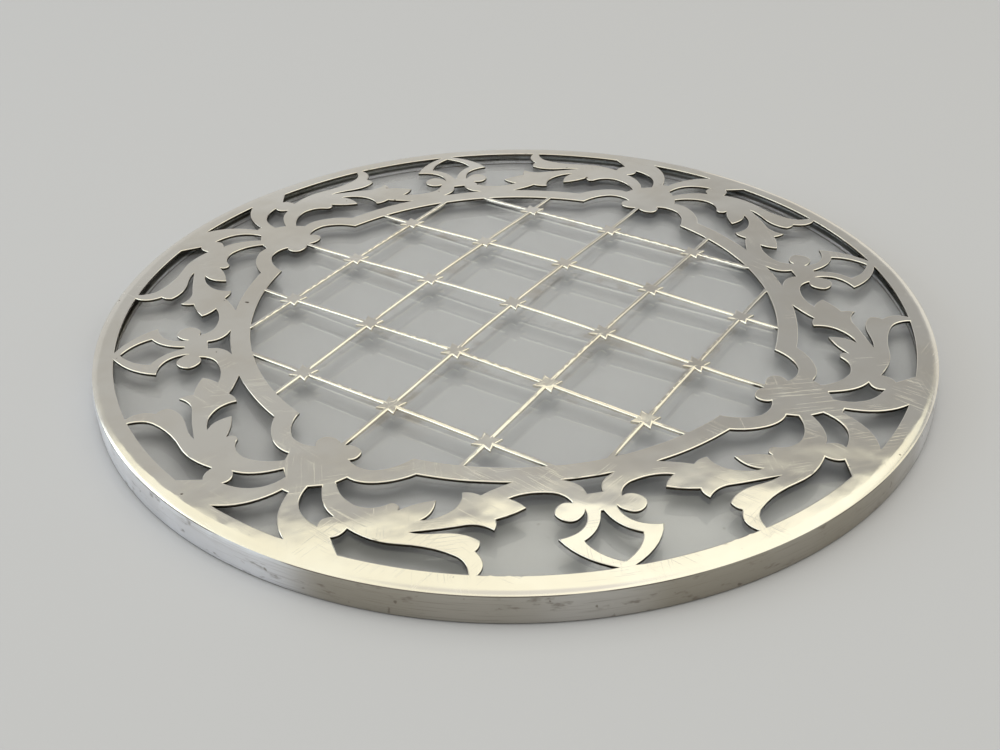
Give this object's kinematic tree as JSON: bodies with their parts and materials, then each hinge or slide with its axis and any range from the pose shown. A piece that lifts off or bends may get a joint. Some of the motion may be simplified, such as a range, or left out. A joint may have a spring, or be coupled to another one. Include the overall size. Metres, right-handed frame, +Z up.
{
  "type": "teapot stand",
  "caption": "Round, low teapot stand: a pierced silver sheet with a lattice middle and a scrolling border, over a clear glass disc in a plain silver band.",
  "frame": {"origin": "middle of the circle that the band stands on, on the table's surface", "axes": "+Z up through the stand; +X and +Y run out through the middles of two neighbouring flower heads, and the buckles lie on the diagonals"},
  "size_m": [0.165, 0.165, 0.0073],
  "materials": {
    "polished_silver": "polished by hand, with fine scratches and softened edges",
    "worn_silver": "dull from handling, with wear lines that run round the band",
    "clear_glass": "clear plate glass with ground edges",
    "silver_solder": "as it ran, pale and matt"
  },
  "bodies": {
    "root": {"pierced_silver_sheet": "polished_silver", "silver_rim_band": "worn_silver", "clear_glass_disc": "clear_glass", "solder_seam": "silver_solder"}
  },
  "joints": []
}
